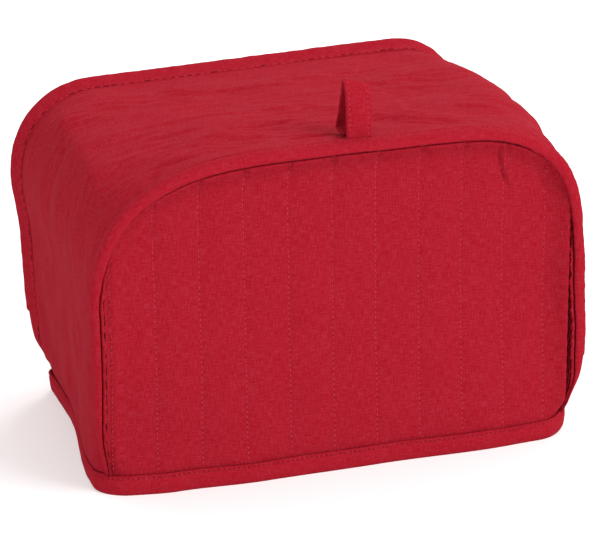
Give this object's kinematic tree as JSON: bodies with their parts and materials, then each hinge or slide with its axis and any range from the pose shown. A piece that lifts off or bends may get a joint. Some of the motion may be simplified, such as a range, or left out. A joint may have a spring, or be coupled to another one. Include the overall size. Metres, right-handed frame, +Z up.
{
  "type": "toaster cover",
  "caption": "Fitted quilted cloth cover with an arched front, straight sides, folded tape over its seams and hem, and a hanging loop at the top front.",
  "frame": {"origin": "middle of the floor area the standing cover takes up, on the floor", "axes": "+Z up; the front panel with the hanging loop faces -Y; +X runs from the left side to the right side seen from the front"},
  "size_m": [0.2974, 0.1978, 0.2306],
  "materials": {
    "quilted_cotton": "matte quilted plain weave",
    "cotton_tape": "matte plain weave tape"
  },
  "bodies": {
    "root": {"front_panel": "quilted_cotton", "back_panel": "quilted_cotton", "gusset": "quilted_cotton", "front_binding": "cotton_tape", "back_binding": "cotton_tape", "hem_binding": "cotton_tape", "hanging_loop": "cotton_tape"}
  },
  "joints": []
}
